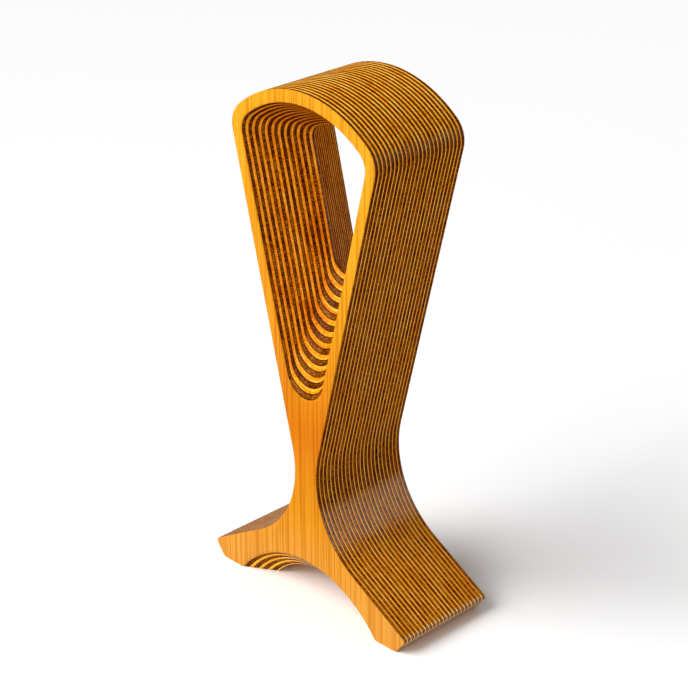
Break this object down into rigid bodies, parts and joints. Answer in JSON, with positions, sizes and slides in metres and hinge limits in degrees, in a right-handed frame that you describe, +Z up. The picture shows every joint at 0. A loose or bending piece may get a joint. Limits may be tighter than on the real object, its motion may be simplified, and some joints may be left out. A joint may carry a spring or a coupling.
{
  "type": "headphone stand",
  "caption": "Plywood headphone stand: a glued stack of sheets forming an arched loop with an hourglass hole, a slim waist and splayed feet over an arch.",
  "frame": {"origin": "on the floor, under the centre of the stand's bounding box", "axes": "+X to the right across the two feet, +Y from the front face to the back face, +Z up"},
  "size_m": [0.1502, 0.0644, 0.297],
  "materials": {
    "face_sheet": "gloss varnish",
    "inner_sheet": "gloss varnish"
  },
  "bodies": {
    "root": {"front_sheet": "face_sheet", "sheet_02": "inner_sheet", "sheet_03": "inner_sheet", "sheet_04": "inner_sheet", "sheet_05": "inner_sheet", "sheet_06": "inner_sheet", "sheet_07": "inner_sheet", "sheet_08": "inner_sheet", "sheet_09": "inner_sheet", "sheet_10": "inner_sheet", "sheet_11": "inner_sheet", "sheet_12": "inner_sheet", "sheet_13": "inner_sheet", "sheet_14": "inner_sheet", "sheet_15": "inner_sheet", "sheet_16": "inner_sheet", "sheet_17": "inner_sheet", "sheet_18": "inner_sheet", "sheet_19": "inner_sheet", "sheet_20": "inner_sheet", "sheet_21": "inner_sheet", "sheet_22": "inner_sheet", "back_sheet": "face_sheet"}
  },
  "joints": []
}
